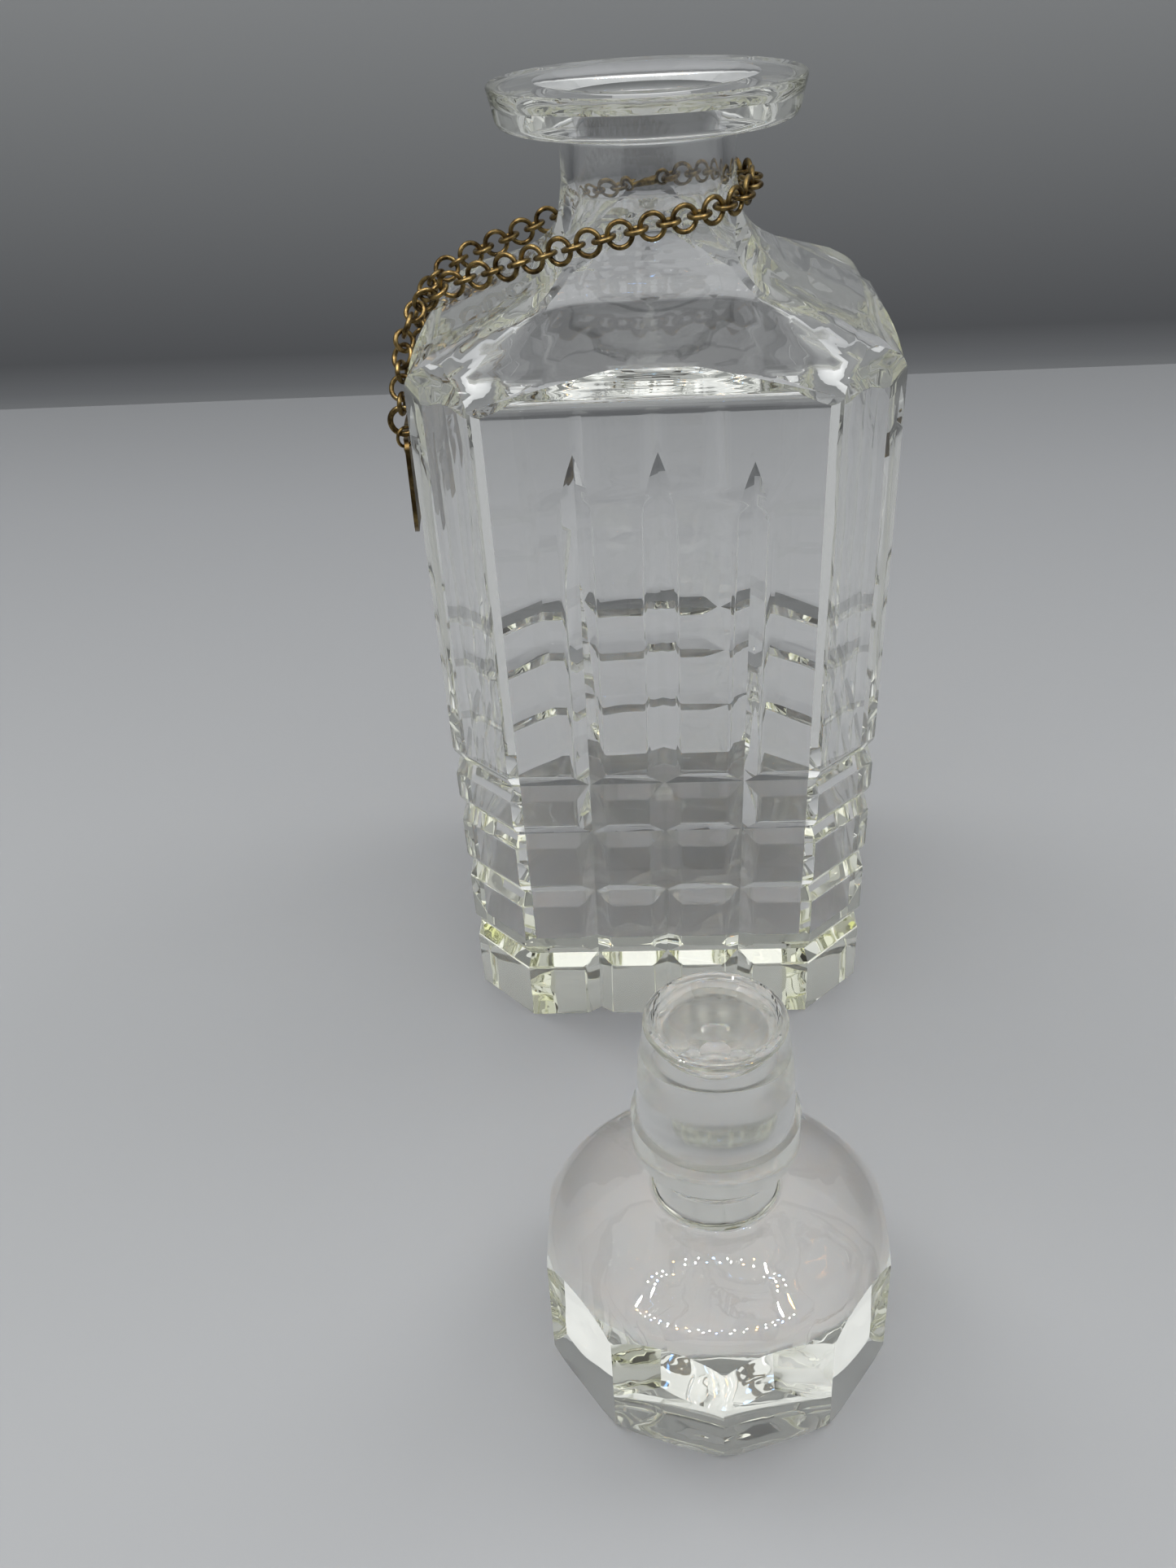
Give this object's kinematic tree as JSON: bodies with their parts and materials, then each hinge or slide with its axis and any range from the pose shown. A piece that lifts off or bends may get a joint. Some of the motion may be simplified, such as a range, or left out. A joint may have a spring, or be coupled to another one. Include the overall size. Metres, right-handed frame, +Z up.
{
  "type": "cut crystal decanter",
  "caption": "Square bottle with chamfered corners, V-cut bands and flutes, a hollow-ended faceted stopper and a curved label on a fine chain.",
  "frame": {"origin": "centre of the bottle's base, on the table", "axes": "+Z up along the neck's bore; the stopper stands beside the bottle towards -Y; the label hangs on the -X side"},
  "size_m": [0.101, 0.2052, 0.1955],
  "materials": {
    "crystal": "polished cut lead crystal",
    "label_metal": "aged, lightly engraved",
    "chain_metal": "aged"
  },
  "bodies": {
    "decanter": {"bottle": "crystal", "end_ring_front": "chain_metal", "chain_link_01": "chain_metal", "chain_link_02": "chain_metal", "chain_link_03": "chain_metal", "chain_link_04": "chain_metal", "chain_link_05": "chain_metal", "chain_link_06": "chain_metal", "chain_link_07": "chain_metal", "chain_link_08": "chain_metal", "chain_link_09": "chain_metal", "chain_link_10": "chain_metal", "chain_link_11": "chain_metal", "chain_link_12": "chain_metal", "chain_link_13": "chain_metal", "chain_link_14": "chain_metal", "chain_link_15": "chain_metal", "chain_link_16": "chain_metal", "chain_link_17": "chain_metal", "chain_link_18": "chain_metal", "chain_link_19": "chain_metal", "chain_link_20": "chain_metal", "chain_link_21": "chain_metal", "chain_link_22": "chain_metal", "chain_link_23": "chain_metal", "chain_link_24": "chain_metal", "chain_link_25": "chain_metal", "chain_link_26": "chain_metal", "chain_link_27": "chain_metal", "chain_link_28": "chain_metal", "chain_link_29": "chain_metal", "chain_link_30": "chain_metal", "chain_link_31": "chain_metal", "chain_link_32": "chain_metal", "chain_link_33": "chain_metal", "chain_link_34": "chain_metal", "chain_link_35": "chain_metal", "chain_link_36": "chain_metal", "chain_link_37": "chain_metal", "chain_link_38": "chain_metal", "chain_link_39": "chain_metal", "chain_link_40": "chain_metal", "chain_link_41": "chain_metal", "chain_link_42": "chain_metal", "chain_link_43": "chain_metal", "chain_link_58": "chain_metal", "chain_link_59": "chain_metal", "chain_link_60": "chain_metal", "chain_link_61": "chain_metal", "chain_link_62": "chain_metal", "chain_link_63": "chain_metal", "chain_link_64": "chain_metal", "chain_links_behind_neck": "chain_metal", "clasp_bar": "chain_metal", "end_ring_back": "chain_metal"},
    "stopper": {"stopper": "crystal"},
    "label": {"label_plate": "label_metal", "label_ring_front": "chain_metal", "label_ring_back": "chain_metal"}
  },
  "joints": [
    {"name": "stopper_lift", "type": "slide", "parent": "decanter", "child": "stopper", "axis": [0, 0, 1], "range_m": [0, 0.25]},
    {"name": "label_swing", "type": "hinge", "parent": "decanter", "child": "label", "pos_m": [-0.0505, -0.0015, 0.137], "axis": [0, 1, 0], "range_deg": [0, 75]}
  ]
}
